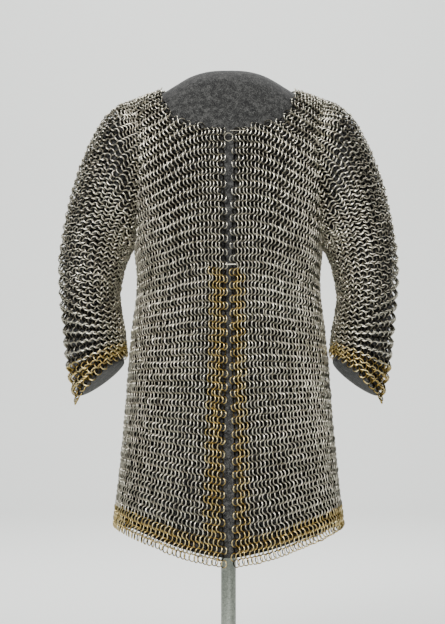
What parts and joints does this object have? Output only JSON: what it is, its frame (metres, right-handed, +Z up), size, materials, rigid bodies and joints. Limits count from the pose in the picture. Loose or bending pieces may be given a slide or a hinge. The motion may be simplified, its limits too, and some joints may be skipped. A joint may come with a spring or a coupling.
{
  "type": "chainmail hauberk on a torso dress form and stand",
  "caption": "Short-sleeved chainmail hauberk, open down the front, with brass-ring trim at hem, slit and cuffs, on a felt-covered torso form and pole stand.",
  "frame": {"origin": "middle of the base plate's underside, on the floor", "axes": "+Z up along the pole, the open front faces -Y, the wearer's left is +X"},
  "size_m": [0.5286, 0.35, 1.056],
  "materials": {
    "mail_iron": "woven iron wire rings, worn bright, brown-grey tarnish",
    "mail_brass": "woven brass wire rings, dulled",
    "felt": "dark grey needle felt, flecked with pale fibres",
    "stand_steel": "satin zinc-grey steel"
  },
  "bodies": {
    "root": {"back": "mail_iron", "front_right": "mail_iron", "front_left": "mail_iron", "sleeve_right": "mail_iron", "sleeve_left": "mail_iron", "slit_border_right": "mail_brass", "slit_border_left": "mail_brass", "hem_front_right": "mail_brass", "hem_front_left": "mail_brass", "hem_back": "mail_brass", "cuff_right": "mail_brass", "cuff_left": "mail_brass", "closing_ring": "mail_iron", "neck_link": "mail_iron", "slit_link": "mail_iron", "torso_form": "felt", "sleeve_pad_right": "felt", "sleeve_pad_left": "felt", "pole": "stand_steel", "form_flange": "stand_steel", "pole_socket": "stand_steel", "base_plate": "stand_steel"}
  },
  "joints": []
}
